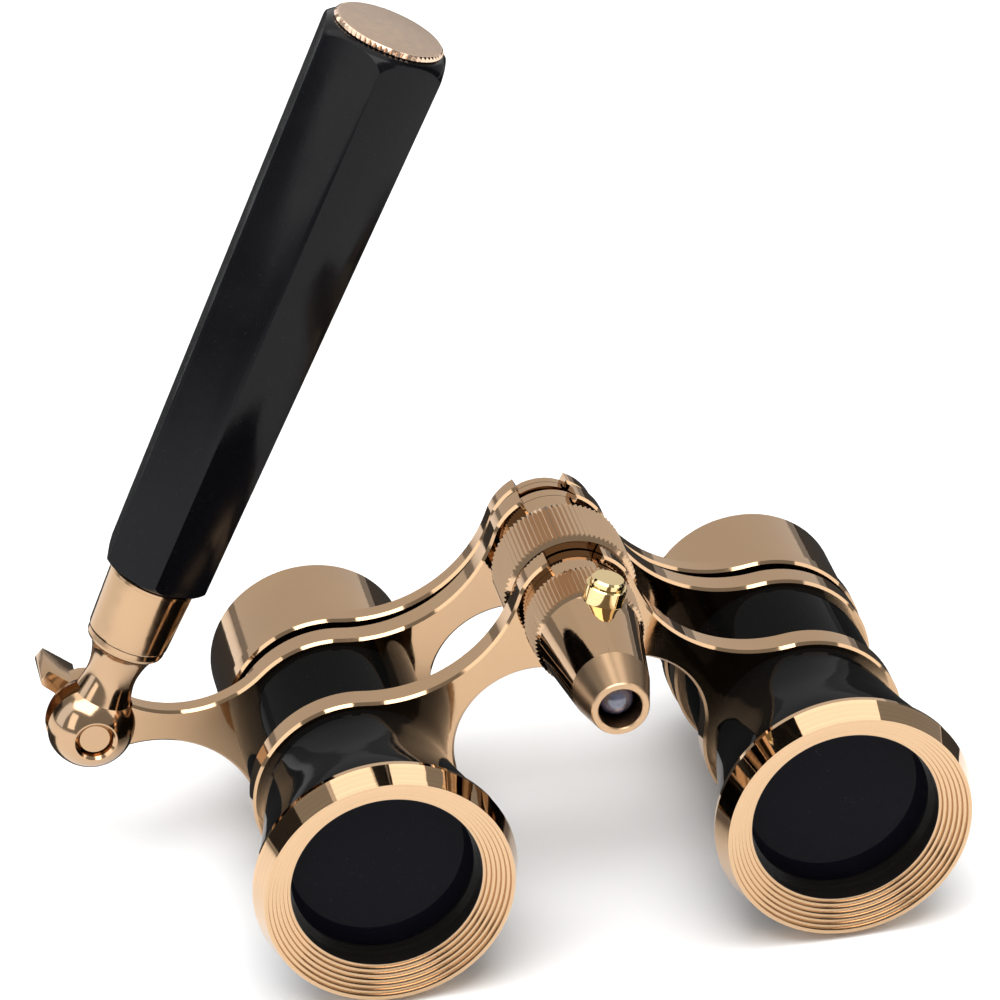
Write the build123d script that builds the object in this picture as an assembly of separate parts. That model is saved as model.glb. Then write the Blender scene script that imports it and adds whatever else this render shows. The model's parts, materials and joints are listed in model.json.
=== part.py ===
"""Folding 3x25 opera glasses with a lorgnette handle and a reading torch.

Two barrels hang from a centre hinge, which folds to set the eye distance. A knurled wheel on
the hinge drives the two ocular arms for focus. A small battery torch stands out in front of
the hinge, and a telescoping handle turns on a ball joint at the left barrel.

The model is drawn in working axes: x = 0 at the hinge, y = 0 at the front of the objective
rims with +y towards the eyes, z = 0 at the barrel axes. Left is the handle side, -X. At the
end every piece is moved so that the origin is at the bottom centre of the whole object.
"""
from build123d import *
import math
import os

# ---------------------------------------------------------------- driving dimensions, in mm
RUNNING = 0.05                # radial clearance of a running fit, and gap at a butt joint
# barrels and objectives
HALF_SPACING = 30.36          # barrel axis to the symmetry plane at rest
HINGE_Z = 23.7                # hinge axis above the barrel axes
CLEAR_APERTURE_R = 12.5       # objective of 25 mm
RIM_FRONT_R = 16.33
RIM_REAR_R = 17.3
RIM_BAND = 3.4                # length of the bevelled outer band
RIM_LAND = 0.5                # plain flat round the front face
RIM_DISH = 2.48               # depth of the stepped front face
RIM_STEPS = 6
RIM_BORE_Y = 5.6              # end of the clear bore
RIM_BACK_Y = 4.2              # shoulder that closes on the bell
RIM_SEAT_R = 12.0             # lip in front of the lens
RIM_SEAT_T = 0.6
RIM_SLEEVE_BORE_R = 12.7
RIM_SLEEVE_R = 14.6
RIM_SLEEVE_Y = 12.0
LENS_R = 12.65
LENS_FRONT_Y = 5.4
LENS_EDGE_Y = 6.35
LENS_REAR_Y = 8.6
BELL_FRONT_R = 16.6
BELL_WALL = 0.35              # bell wall behind the rim's sleeve
TUBE_R = 12.8
TUBE_BORE_R = 11.66
TUBE_REAR_Y = 44.6
# body plates
PLATE_T = 3.2
FRONT_PLATE_Y = 24.3
REAR_PLATE_Y = 40.8
PLATE_RING_R = 13.7           # outline round a barrel
PLATE_TOP_HUB_R = 8.2         # outline over the hinge
PLATE_LOW_HUB_R = 9.3         # outline under the hinge
TOP_SWEEP_R = 19.0            # concave top edge of an arm
LOW_SWEEP_R = 11.1            # concave lower edge of an arm
LUG_R = 6.9                   # interleaved hinge lugs
LUG_PLAY = 0.2                # a lug turns this clear of the other half's pocket
HUB_TOP_GAP = 27.0            # half of the open sector between the two halves' ends, above
HUB_LOW_GAP = 12.0            # the same, below
LOW_SWEEP_CUT = 6.0           # the low edge stops this many degrees short of the hinge circle
EDGE_BEVEL = 0.35
OVERCUT = 1.0                 # a cutting solid reaches this far past the piece it cuts
# ocular arms and eyepieces
OCULAR_PLATE_Y = 45.8
OCULAR_PLATE_T = 2.4
OCULAR_RING_R = 13.9
OCULAR_HUB_R = 7.6
OCULAR_LUG_R = 6.45
EYE_TUBE_R = 11.6
EYE_TUBE_BORE_R = 10.8
EYE_TUBE_FRONT_Y = 32.0
EYE_TUBE_REAR_Y = 51.8
EYECUP_R = 13.49
EYECUP_REAR_Y = 61.9
EYECUP_RIM_R = 12.7           # outer edge of the funnel
EYECUP_THROAT_R = 8.4         # inner edge of the funnel
EYECUP_FUNNEL = 3.6           # depth of the funnel
EYECUP_EXIT_R = 7.6
EYECUP_EXIT_T = 0.8
EYECUP_ROUND = 0.35
EYE_LENS_R = 10.5
EYE_LENS_T = 2.4
EYE_LENS_CURVE_R = 8.6
EYE_LENS_RING_T = 0.9
DIOPTRE_SET = 1.7             # the right eyecup is screwed in this much further
# hinge core and focus drive
BUSH_R = 4.0
BUSH_FLANGE_R = 5.4
FLANGE_T = 0.4
SPINDLE_R = 2.2
SPINDLE_FRONT_Y = 23.3
SPINDLE_REAR_Y = 47.6
NUT_SLEEVE_R = 3.15
NUT_FLANGE_R = 5.6
NUT_FRONT_Y = 38.2
NUT_REAR_Y = 48.6
WHEEL_R = 8.95
WHEEL_FRONT_Y = 27.8
WHEEL_REAR_Y = 36.8
WHEEL_TEETH = 80
TOOTH_DEPTH = 0.34
BRIDGE_CAP_R = 5.2
BRIDGE_CAP_T = 0.8
# torch
TORCH_FRONT_Y = -1.34
TORCH_BEZEL_R = 3.8
TORCH_MOUTH_R = 2.85
TORCH_BREAK_Y = 4.3
TORCH_BREAK_R = 5.1
TORCH_CONE_REAR_R = 6.75
TORCH_BORE_R = 4.5
TORCH_SLEEVE_R = 5.2
TORCH_SLEEVE_Y = 19.6
RING_FRONT_Y = 16.2
RING_REAR_Y = 22.4
RING_FRONT_R = 7.25
RING_REAR_R = 7.6
RING_TEETH = 72
BASE_R = 7.0
BASE_FLANGE_Y = 22.9
BASE_SPIGOT_Y = 19.9
CELL_R = 3.95                 # three LR41 button cells
CELL_T = 3.6
CELL_FRONT_Y = 8.9
LED_R = 2.5                   # 5 mm lamp
LED_FLANGE_R = 2.75
LED_TIP_Y = -0.19
LED_DOME_Y = 2.3
LED_FLANGE_Y = 6.9
LED_BACK_Y = 7.7
BOARD_T = 0.85
BUTTON_Y = 15.8
BUTTON_TILT = 15.5            # the torch is screwed up with its button this far past the top
BUTTON_TOP = 9.5              # above the torch axis
BUTTON_R = 2.24
BUTTON_FOOT = 7.5             # underside of the button's head
BOSS_R = 2.7
BOSS_TOP = 8.5
BOSS_FLOOR = 6.3              # bottom of the well the button slides in
BOSS_FOOT = 4.95
PLUNGER_R = 1.2
# handle, with distances along it from the pivot
PIVOT_X = -62.85
PIVOT_Y = 42.0
PIVOT_Z = 5.4
HANDLE_LEAN = 25.05           # handle axis, from straight up towards the hinge
BALL_R = 6.0
BALL_FACET_R = 2.95
MOUTH_R = 6.4                 # slot in the ball for the arm
NECK_SECTOR = 32.0            # half of the sector where the neck joins the ball's two cheeks
NECK_WAIST = 8.0
NECK_WAIST_R = 3.35
NECK_LIP = 13.2
NECK_LIP_R = 5.35
ARM_T = 2.4
EYE_R = 4.6
EYE_PLAY = 0.3
SLOT_PLAY = 0.16
ARM_TOP_EYE_R = 5.3           # circles round the pivot that the arm's edges run towards
ARM_LOW_EYE_R = 5.0
ARM_TOP_TRIM = 11.0           # degrees of each edge left off inside the ball
ARM_LOW_TRIM = 9.7
ARM_TOP_SWEEP_R = 14.5
ARM_LOW_SWEEP_R = 14.6
PIN_R = 2.35
PIN_SUNK = 0.85               # pin end below the ball's front facet
PIN_BEVEL = 0.35
PIN_TAIL = 9.3                # back end of the pin behind the pivot
SPIGOT_R = 3.6                # neck's spigot inside the collar
SPIGOT_END = 19.6
COLLAR_Y0 = 14.0
COLLAR_Y1 = 23.7
COLLAR_LOW_R = 5.5
COLLAR_TOP_R = 5.85
COLLAR_LIP_R = 6.0
COLLAR_LIP = 0.6
INNER_TUBE_R = 4.6
INNER_TUBE_BORE_R = 3.9
INNER_TUBE_Y0 = 19.9
INNER_TUBE_Y1 = 94.0
STOP_RING_R = 5.2
STOP_RING_T = 1.6
BUSH_OUT_R = 5.4
SLIDE_BUSH_T = 7.4
GRIP_Y0 = 24.3
GRIP_Y1 = 104.6
GRIP_LOW_R = 7.85             # across-corners radius of the six-sided grip
GRIP_TOP_R = 9.35
GRIP_TURN = -12.9             # corner of the grip, from the front of the handle
GRIP_BORE_R = 5.42
GRIP_BORE_END = 101.0
CAP_R = 7.4
CAP_PLUG_R = 5.15
CAP_PLUG_T = 2.4
CAP_BAND = 0.8                # height of the beaded rim
CAP_DOME = 0.35
CAP_BEADS = 60
BEAD_DEPTH = 0.35
# lock lever, in (x, z) from the pivot
LEVER_TIP_TOP = (-4.45, 5.35)
LEVER_TIP_LOW = (-6.0, 3.75)
LEVER_HEEL_LOW = (-2.4, 0.4)
LEVER_HEEL_TOP = (-0.6, 2.2)
LEVER_T = 6.2                 # along the pin
LEVER_TIP_ROUND = 0.9
LEVER_HUB_R = 3.3
LEVER_HUB_T = 3.4

HINGE = (0.0, HINGE_Z)
LEFT_AXIS = (-HALF_SPACING, 0.0)
PIVOT = (PIVOT_X, PIVOT_Z)


# ---------------------------------------------------------------- drawing helpers
def turned(points, x=0.0, z=0.0):
    """A solid turned about a line parallel to Y, from (radius, y) points."""
    face = make_face(Polyline(*points, close=True))
    return Pos(x, 0, z) * revolve(face, axis=Axis.Y)


def turned_edges(edges, x=0.0, z=0.0):
    """The same from a closed loop of edges drawn in (radius, y)."""
    return Pos(x, 0, z) * revolve(make_face(edges), axis=Axis.Y)


def ring(r_out, r_in, y0, y1, x=0.0, z=0.0):
    """A plain tube along Y."""
    return turned([(r_in, y0), (r_out, y0), (r_out, y1), (r_in, y1)], x, z)


def rod(r, y0, y1, x=0.0, z=0.0):
    """A plain rod along Y."""
    return turned([(0, y0), (r, y0), (r, y1), (0, y1)], x, z)


def slab(sketch, y0, thickness):
    """A plate from a sketch drawn in (x, z), standing across Y from y0."""
    return Pos(0, y0 + thickness, 0) * Rot(90, 0, 0) * extrude(sketch, thickness)


def bevelled_slab(outline, y0, thickness):
    """The same, with the front face's edge broken by a narrow bevel.

    outline gives the sketch for an inset: 0 for the plate, the bevel for its front face.
    """
    body = extrude(outline(0.0), thickness - EDGE_BEVEL)
    edge = loft([outline(0.0), Pos(0, 0, EDGE_BEVEL) * outline(EDGE_BEVEL)], ruled=True)
    body = body + Pos(0, 0, thickness - EDGE_BEVEL) * edge
    return Pos(0, y0 + thickness, 0) * Rot(90, 0, 0) * body


def polar(centre, radius, angle):
    """The point at an angle in degrees, counterclockwise from +x."""
    a = math.radians(angle)
    return (centre[0] + radius * math.cos(a), centre[1] + radius * math.sin(a))


def angle_to(centre, point):
    return math.degrees(math.atan2(point[1] - centre[1], point[0] - centre[0]))


def tangent_centre(c1, r1, c2, r2, sweep_r, side):
    """Centre of an arc of radius sweep_r that touches both circles from outside."""
    d1 = sweep_r + r1
    d2 = sweep_r + r2
    dx = c2[0] - c1[0]
    dy = c2[1] - c1[1]
    gap = math.hypot(dx, dy)
    along = (d1 ** 2 - d2 ** 2 + gap ** 2) / (2 * gap)
    across = side * math.sqrt(d1 ** 2 - along ** 2)
    return (
        c1[0] + along * dx / gap - across * dy / gap,
        c1[1] + along * dy / gap + across * dx / gap,
    )


def arc(centre, radius, start, end):
    """An arc from one angle to another; a smaller end angle runs clockwise."""
    middle = (start + end) / 2
    return ThreePointArc(
        polar(centre, radius, start), polar(centre, radius, middle), polar(centre, radius, end)
    )


def dished(edge_r, edge_y, axis_y):
    """A spherical face in (radius, y), from its edge to its pole on the axis."""
    sag = edge_y - axis_y
    sphere_r = (edge_r ** 2 + sag ** 2) / (2 * abs(sag))
    half_r = edge_r / 2
    half_sag = sphere_r - math.sqrt(sphere_r ** 2 - half_r ** 2)
    half_y = axis_y + math.copysign(half_sag, sag)
    return ThreePointArc((edge_r, edge_y), (half_r, half_y), (0, axis_y))


def near(angle, reference):
    """The same angle, within half a turn of the reference."""
    while angle - reference > 180:
        angle -= 360
    while angle - reference < -180:
        angle += 360
    return angle


def toothed(radius, teeth, depth):
    """A ring of pointed teeth as a closed face."""
    points = []
    for i in range(teeth):
        points.append(polar((0, 0), radius, i * 360 / teeth))
        points.append(polar((0, 0), radius - depth, (i + 0.5) * 360 / teeth))
    return make_face(Polyline(*points, close=True))


def knurled(r_front, r_rear, y0, y1, teeth, bore_r, x=0.0, z=0.0):
    """A straight-knurled ring: a toothed prism whose ends are bevelled to below the teeth."""
    front = Pos(0, 0, y1 - y0) * toothed(r_front, teeth, TOOTH_DEPTH)
    prism = loft([toothed(r_rear, teeth, TOOTH_DEPTH), front], ruled=True)
    prism = Pos(0, y1, 0) * Rot(90, 0, 0) * prism
    deep = 2.4 * TOOTH_DEPTH
    long = 1.7 * TOOTH_DEPTH
    blank = turned([
        (bore_r, y0),
        (r_front - deep, y0),
        (r_front, y0 + long),
        (r_rear, y1 - TOOTH_DEPTH),
        (r_rear - deep, y1),
        (bore_r, y1),
    ])
    return Pos(x, 0, z) * (prism & blank)


# ---------------------------------------------------------------- plates
def wing_outline(ring_r, top_hub_r, low_hub_r, lug_r, inset):
    """The left half of a bridge plate: hinge end, S-shaped arm and barrel ring."""
    ring_r = ring_r - inset
    top_hub_r = top_hub_r - inset
    low_hub_r = low_hub_r - inset
    pocket_r = lug_r + LUG_PLAY
    top_sweep = TOP_SWEEP_R + inset
    low_sweep = LOW_SWEEP_R + inset
    top = tangent_centre(LEFT_AXIS, ring_r, HINGE, top_hub_r, top_sweep, 1)
    low = tangent_centre(LEFT_AXIS, ring_r, HINGE, low_hub_r, low_sweep, -1)
    end_inset = math.degrees(inset / top_hub_r)
    hub_top_end = 90 + HUB_TOP_GAP + end_inset
    hub_low_end = 270 - HUB_LOW_GAP - end_inset
    hub_top_tangent = near(angle_to(HINGE, top), 180)
    barrel_top_tangent = angle_to(LEFT_AXIS, top)
    barrel_low_tangent = near(angle_to(LEFT_AXIS, low), 360)
    low_start = near(angle_to(low, LEFT_AXIS), 180)
    low_end = polar(low, low_sweep, near(angle_to(low, HINGE), 90) + LOW_SWEEP_CUT)
    edges = [
        arc(HINGE, top_hub_r, hub_top_end, hub_top_tangent),
        arc(top, top_sweep, near(angle_to(top, HINGE), 300), near(angle_to(top, LEFT_AXIS), 250)),
        arc(LEFT_AXIS, ring_r, barrel_top_tangent, barrel_low_tangent),
        arc(low, low_sweep, low_start, near(angle_to(low, low_end), 90)),
        Line(low_end, polar(HINGE, pocket_r, hub_low_end)),
        arc(HINGE, pocket_r, hub_low_end, hub_top_end),
        Line(polar(HINGE, pocket_r, hub_top_end), polar(HINGE, top_hub_r, hub_top_end)),
    ]
    return make_face(edges)


def lug_outline(lug_r):
    """The round lug of a left plate, with the filling that ties it to its arm."""
    pocket_r = lug_r + LUG_PLAY
    edges = [
        arc(HINGE, pocket_r, 90 + HUB_TOP_GAP, 270 - HUB_LOW_GAP),
        Line(polar(HINGE, pocket_r, 270 - HUB_LOW_GAP), HINGE),
        Line(HINGE, polar(HINGE, pocket_r, 90 + HUB_TOP_GAP)),
    ]
    return Pos(*HINGE) * Circle(lug_r) + make_face(edges)


def bridge_plate(spec, hole_r, lug_bore_r, front_lug, arm=None):
    """One left half-plate: outline, barrel hole, and its own half of the hinge lugs."""
    y0, thickness, ring_r, top_hub_r, low_hub_r, lug_r = spec

    def outline(inset):
        return wing_outline(ring_r, top_hub_r, low_hub_r, lug_r, inset)

    wing = bevelled_slab(outline, y0, thickness)
    lug_t = thickness / 2 - RUNNING
    lug_y = y0 if front_lug else y0 + thickness - lug_t
    plate = wing + slab(lug_outline(lug_r), lug_y, lug_t)
    if arm:
        plate = plate + arm
    plate = plate - rod(hole_r, y0 - OVERCUT, y0 + thickness + OVERCUT, *LEFT_AXIS)
    return plate - rod(lug_bore_r, y0 - OVERCUT, y0 + thickness + OVERCUT, *HINGE)


def arm_outline(inset):
    """The handle's arm, from the left barrel out to the pivot eye."""
    ring_r = PLATE_RING_R - inset
    top_sweep = ARM_TOP_SWEEP_R + inset
    low_sweep = ARM_LOW_SWEEP_R + inset
    top = tangent_centre(PIVOT, ARM_TOP_EYE_R - inset, LEFT_AXIS, ring_r, top_sweep, 1)
    low = tangent_centre(PIVOT, ARM_LOW_EYE_R - inset, LEFT_AXIS, ring_r, low_sweep, -1)
    top_end = near(angle_to(top, PIVOT), 250) + ARM_TOP_TRIM
    low_start = near(angle_to(low, PIVOT), 120) - ARM_LOW_TRIM
    edges = [
        arc(top, top_sweep, near(angle_to(top, LEFT_AXIS), 300), top_end),
        Line(polar(top, top_sweep, top_end), PIVOT),
        Line(PIVOT, polar(low, low_sweep, low_start)),
        arc(low, low_sweep, low_start, near(angle_to(low, LEFT_AXIS), 60)),
        Line(polar(LEFT_AXIS, ring_r, angle_to(LEFT_AXIS, low)), LEFT_AXIS),
        Line(LEFT_AXIS, polar(LEFT_AXIS, ring_r, angle_to(LEFT_AXIS, top))),
    ]
    return make_face(edges)


def handle_arm():
    """The thinner tongue and pivot eye that carry the handle on the rear left plate."""
    arm = bevelled_slab(arm_outline, REAR_PLATE_Y, ARM_T)
    arm = arm + slab(Pos(*PIVOT) * Circle(EYE_R), REAR_PLATE_Y, ARM_T)
    back = REAR_PLATE_Y + ARM_T
    return arm - rod(PIN_R + RUNNING, REAR_PLATE_Y - OVERCUT, back + OVERCUT, *PIVOT)


def mirrored(shape):
    return mirror(shape, about=Plane.YZ)


# ---------------------------------------------------------------- optics
def objective_rim():
    """Bevelled front ring with a stepped dish, screwed into the mouth of the bell."""
    step_r = (RIM_FRONT_R - RIM_LAND - CLEAR_APERTURE_R) / RIM_STEPS
    step_y = RIM_DISH / RIM_STEPS
    points = [(RIM_FRONT_R, 0.0)]
    for i in range(RIM_STEPS):
        r = RIM_FRONT_R - RIM_LAND - i * step_r
        points.append((r, i * step_y))
        points.append((r - step_r / 4, (i + 1) * step_y))
    points += [
        (CLEAR_APERTURE_R, RIM_DISH),
        (CLEAR_APERTURE_R, RIM_BORE_Y),
        (RIM_SEAT_R, RIM_BORE_Y),
        (RIM_SEAT_R, RIM_BORE_Y + RIM_SEAT_T),
        (RIM_SLEEVE_BORE_R, RIM_BORE_Y + RIM_SEAT_T),
        (RIM_SLEEVE_BORE_R, RIM_SLEEVE_Y),
        (RIM_SLEEVE_R, RIM_SLEEVE_Y),
        (RIM_SLEEVE_R, RIM_BACK_Y),
        (RIM_REAR_R - 2 * RUNNING, RIM_BACK_Y),
        (RIM_REAR_R, RIM_BAND),
    ]
    return turned(points, *LEFT_AXIS)


def objective_lens():
    """Plano-convex objective, 25 mm, its edge held against the rim's inner shoulder."""
    edges = [
        dished(LENS_R, LENS_EDGE_Y, LENS_FRONT_Y),
        Line((LENS_R, LENS_EDGE_Y), (LENS_R, LENS_REAR_Y)),
        Line((LENS_R, LENS_REAR_Y), (0, LENS_REAR_Y)),
        Line((0, LENS_REAR_Y), (0, LENS_FRONT_Y)),
    ]
    return turned_edges(edges, *LEFT_AXIS)


def objective_retainer():
    """Blackened ring screwed in behind the objective, its bore widening to the rear."""
    front = LENS_REAR_Y + 0.02
    rear = front + 1.8
    outer = RIM_SLEEVE_BORE_R - 0.02
    return turned([(outer - 1.3, front), (outer, front), (outer, rear), (outer - 0.8, rear)], *LEFT_AXIS)


def barrel_tube():
    """Enamelled barrel: a trumpet bell behind the rim, then a plain tube through both plates."""
    mouth_y = RIM_BACK_Y + RUNNING
    seat_y = RIM_SLEEVE_Y + 0.2
    seat_r = RIM_SLEEVE_R + RUNNING
    flare = [
        (BELL_FRONT_R, mouth_y),
        (15.6, 9.0),
        (14.1, 15.0),
        (13.1, 20.5),
        (TUBE_R, FRONT_PLATE_Y - 0.1),
    ]
    throat = (TUBE_R + 0.2, seat_y + 1.4)
    edges = [
        Spline(flare, tangents=[(-0.16, 1), (0, 1)]),
        Line(flare[-1], (TUBE_R, TUBE_REAR_Y)),
        Line((TUBE_R, TUBE_REAR_Y), (TUBE_BORE_R, TUBE_REAR_Y)),
        Line((TUBE_BORE_R, TUBE_REAR_Y), (TUBE_BORE_R, FRONT_PLATE_Y - 1.3)),
        Line((TUBE_BORE_R, FRONT_PLATE_Y - 1.3), throat),
        Line(throat, (seat_r, seat_y)),
        Line((seat_r, seat_y), (seat_r, mouth_y)),
        Line((seat_r, mouth_y), (BELL_FRONT_R, mouth_y)),
    ]
    return turned_edges(edges, *LEFT_AXIS)


def eyepiece_tube():
    """Drawtube that slides in the barrel and is soldered into the ocular arm."""
    return ring(EYE_TUBE_R, EYE_TUBE_BORE_R, EYE_TUBE_FRONT_Y, EYE_TUBE_REAR_Y, *LEFT_AXIS)


def eyecup(shift):
    """Straight metal eyecup with a funnel behind, screwed onto the drawtube."""
    y0 = OCULAR_PLATE_Y + OCULAR_PLATE_T + RUNNING
    y1 = EYECUP_REAR_Y - shift
    floor = y1 - EYECUP_FUNNEL
    lens_back = floor - EYECUP_EXIT_T
    thread_end = lens_back - 3.8
    points = [
        (EYE_TUBE_R + RUNNING, y0),
        (EYECUP_R - EYECUP_ROUND / 2, y0),
        (EYECUP_R, y0 + EYECUP_ROUND / 2),
        (EYECUP_R, y1 - EYECUP_ROUND),
        (EYECUP_R - EYECUP_ROUND, y1),
        (EYECUP_RIM_R, y1),
        (EYECUP_THROAT_R, floor),
        (EYECUP_EXIT_R, floor),
        (EYECUP_EXIT_R, lens_back),
        (EYE_LENS_R + 0.1, lens_back),
        (EYE_LENS_R + 0.1, thread_end),
        (EYE_TUBE_R + RUNNING, thread_end),
    ]
    return turned(points, *LEFT_AXIS)


def eye_lens_back(shift):
    """Where the eye lens's flat rear shoulder stands against the eyecup's inner floor."""
    return EYECUP_REAR_Y - shift - EYECUP_FUNNEL - EYECUP_EXIT_T - RUNNING


def eye_lens(shift):
    """Biconcave eye lens of the Galilean pair."""
    back = eye_lens_back(shift)
    front = back - EYE_LENS_T
    back_pole = back - 1.0
    front_pole = front + 0.8
    edges = [
        dished(EYE_LENS_CURVE_R, back, back_pole),
        Line((EYE_LENS_CURVE_R, back), (EYE_LENS_R, back)),
        Line((EYE_LENS_R, back), (EYE_LENS_R, front)),
        Line((EYE_LENS_R, front), (EYE_LENS_CURVE_R, front)),
        dished(EYE_LENS_CURVE_R, front, front_pole),
        Line((0, front_pole), (0, back_pole)),
    ]
    return turned_edges(edges, *LEFT_AXIS)


def eye_lens_ring(shift):
    """Blackened ring screwed in front of the eye lens, its bore widening to the front."""
    back = eye_lens_back(shift) - EYE_LENS_T - RUNNING
    front = back - EYE_LENS_RING_T
    outer = EYE_LENS_R + RUNNING
    return turned([(outer - 1.35, front), (outer, front), (outer, back), (outer - 1.75, back)], *LEFT_AXIS)


# ---------------------------------------------------------------- hinge core and focus drive
def hinge_parts():
    """Bushes, spacer, spindle, wheel, stop ring and the nut that moves the ocular arms."""
    front_end = FRONT_PLATE_Y + PLATE_T
    rear_end = REAR_PLATE_Y + PLATE_T
    ocular_end = OCULAR_PLATE_Y + OCULAR_PLATE_T
    flange = rear_end + RUNNING
    thread = SPINDLE_R + RUNNING
    sleeve = NUT_SLEEVE_R + RUNNING
    parts = {}
    parts["hinge_bush_front"] = ring(BUSH_R, thread, BASE_FLANGE_Y + 0.1, front_end + 0.1, *HINGE)
    parts["hinge_bush_rear"] = (
        ring(BUSH_R, sleeve, REAR_PLATE_Y, flange, *HINGE)
        + ring(BUSH_FLANGE_R, sleeve, flange, flange + FLANGE_T, *HINGE)
    )
    parts["hinge_spacer"] = ring(LUG_R, sleeve, WHEEL_REAR_Y + 0.2, REAR_PLATE_Y, *HINGE)
    parts["focus_wheel"] = knurled(
        WHEEL_R, WHEEL_R, WHEEL_FRONT_Y, WHEEL_REAR_Y, WHEEL_TEETH, SPINDLE_R, *HINGE
    )
    parts["focus_spindle"] = rod(SPINDLE_R, SPINDLE_FRONT_Y, SPINDLE_REAR_Y, *HINGE)
    parts["focus_nut"] = (
        ring(NUT_SLEEVE_R, thread, NUT_FRONT_Y, NUT_REAR_Y, *HINGE)
        + ring(NUT_FLANGE_R, thread, OCULAR_PLATE_Y - FLANGE_T, OCULAR_PLATE_Y, *HINGE)
        + ring(BUSH_R, thread, OCULAR_PLATE_Y, ocular_end, *HINGE)
    )
    cap_rear = NUT_REAR_Y + BRIDGE_CAP_T
    cap = rod(BRIDGE_CAP_R, ocular_end + RUNNING, cap_rear, *HINGE)
    cap = cap - rod(NUT_SLEEVE_R, ocular_end, NUT_REAR_Y, *HINGE)
    parts["bridge_cap"] = chamfer(cap.faces().sort_by(Axis.Y)[-1].edges(), EDGE_BEVEL)
    return parts


def helical_spring(coil_r, wire_r, height, turns):
    """An open coil standing up Z, with its ends just inside the given height."""
    rise = height - 2 * wire_r
    path = Helix(rise / turns, rise, coil_r)
    section = Plane(path @ 0, z_dir=path % 0) * Circle(wire_r)
    return Pos(0, 0, wire_r) * sweep(section, path=path, is_frenet=True)


# ---------------------------------------------------------------- torch
def button_post(r, low, high):
    """A rod standing on the torch axis at the button, tilted with it."""
    place = Pos(0, BUTTON_Y, HINGE_Z) * Rot(0, BUTTON_TILT, 0)
    return place * Pos(0, 0, (low + high) / 2) * Cylinder(r, high - low)


def torch_shell():
    """The torch's turned outside: bezel, short nose cone and long cone, with its bores."""
    rear = RING_FRONT_Y - RUNNING / 2
    nose = turned([
        (TORCH_MOUTH_R, TORCH_FRONT_Y + 0.15),
        (TORCH_MOUTH_R + 0.15, TORCH_FRONT_Y),
        (TORCH_BEZEL_R - 0.15, TORCH_FRONT_Y),
        (TORCH_BEZEL_R, TORCH_FRONT_Y + 0.2),
        (TORCH_BREAK_R, TORCH_BREAK_Y),
        (TORCH_CONE_REAR_R, rear),
        (TORCH_SLEEVE_R, rear),
        (TORCH_SLEEVE_R, TORCH_SLEEVE_Y),
        (TORCH_BORE_R, TORCH_SLEEVE_Y),
        (TORCH_BORE_R, LED_BACK_Y - 0.1),
        (TORCH_BORE_R - 0.9, LED_BACK_Y - 1.1),
        (TORCH_MOUTH_R, TORCH_BREAK_Y + 0.1),
    ], *HINGE)
    return nose - button_post(PLUNGER_R + 0.15, BOSS_FOOT - 2, BOSS_FLOOR)


def torch_parts():
    """Reading torch: base flange, knurled battery ring, shell with lamp, cells and button."""
    parts = {}
    parts["torch_base"] = (
        ring(BASE_R, BUSH_R, BASE_FLANGE_Y, FRONT_PLATE_Y - RUNNING, *HINGE)
        + rod(BASE_R, RING_REAR_Y + RUNNING, BASE_FLANGE_Y, *HINGE)
        + ring(TORCH_SLEEVE_R, TORCH_BORE_R - 0.2, BASE_SPIGOT_Y, RING_REAR_Y + RUNNING, *HINGE)
    )
    boss_seat = button_post(BOSS_R, BOSS_FOOT - RUNNING, BOSS_TOP + 2)
    ring_bore = TORCH_SLEEVE_R + RUNNING / 2
    battery_ring = knurled(
        RING_FRONT_R, RING_REAR_R, RING_FRONT_Y, RING_REAR_Y, RING_TEETH, ring_bore, *HINGE
    )
    parts["torch_ring"] = battery_ring - boss_seat
    parts["torch_nose"] = torch_shell() - boss_seat
    boss = (
        button_post(BOSS_R, BOSS_FOOT, BOSS_TOP)
        - button_post(BUTTON_R + RUNNING, BOSS_FLOOR, BOSS_TOP + 2)
        - button_post(PLUNGER_R + 0.1, BOSS_FOOT - 1, BOSS_FLOOR + 1)
    )
    boss_rims = boss.edges().group_by(Axis.Z)[-1].filter_by(GeomType.CIRCLE)
    parts["button_boss"] = chamfer(boss_rims, 0.15)
    head = button_post(BUTTON_R, BUTTON_FOOT, BUTTON_TOP)
    head = chamfer(head.edges().group_by(Axis.Z)[-1], 0.25)
    parts["torch_button"] = head + button_post(PLUNGER_R, BOSS_FOOT + 0.15, BUTTON_FOOT)
    stand = Pos(0, BUTTON_Y, HINGE_Z) * Rot(0, BUTTON_TILT, 0)
    parts["button_spring"] = stand * Pos(0, 0, BOSS_FLOOR + 0.1) * helical_spring(1.75, 0.12, 0.94, 3)
    cells = []
    for i in range(3):
        front = CELL_FRONT_Y + i * (CELL_T + 0.02)
        cells.append(rod(CELL_R, front, front + CELL_T, *HINGE))
    parts["torch_cells"] = Compound(children=cells)
    contact = Pos(0, RING_REAR_Y - 0.1, HINGE_Z) * Rot(90, 0, 0)
    parts["contact_spring"] = contact * helical_spring(2.6, 0.2, 2.2, 3)
    board_y = LED_BACK_Y + RUNNING
    parts["led_board"] = rod(TORCH_BORE_R - 0.1, board_y, board_y + BOARD_T, *HINGE)
    led_edges = [
        Line((0, LED_BACK_Y), (LED_FLANGE_R, LED_BACK_Y)),
        Line((LED_FLANGE_R, LED_BACK_Y), (LED_FLANGE_R, LED_FLANGE_Y)),
        Line((LED_FLANGE_R, LED_FLANGE_Y), (LED_R, LED_FLANGE_Y)),
        Line((LED_R, LED_FLANGE_Y), (LED_R, LED_DOME_Y)),
        dished(LED_R, LED_DOME_Y, LED_TIP_Y),
        Line((0, LED_TIP_Y), (0, LED_BACK_Y)),
    ]
    parts["torch_led"] = turned_edges(led_edges, *HINGE)
    return parts


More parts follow.
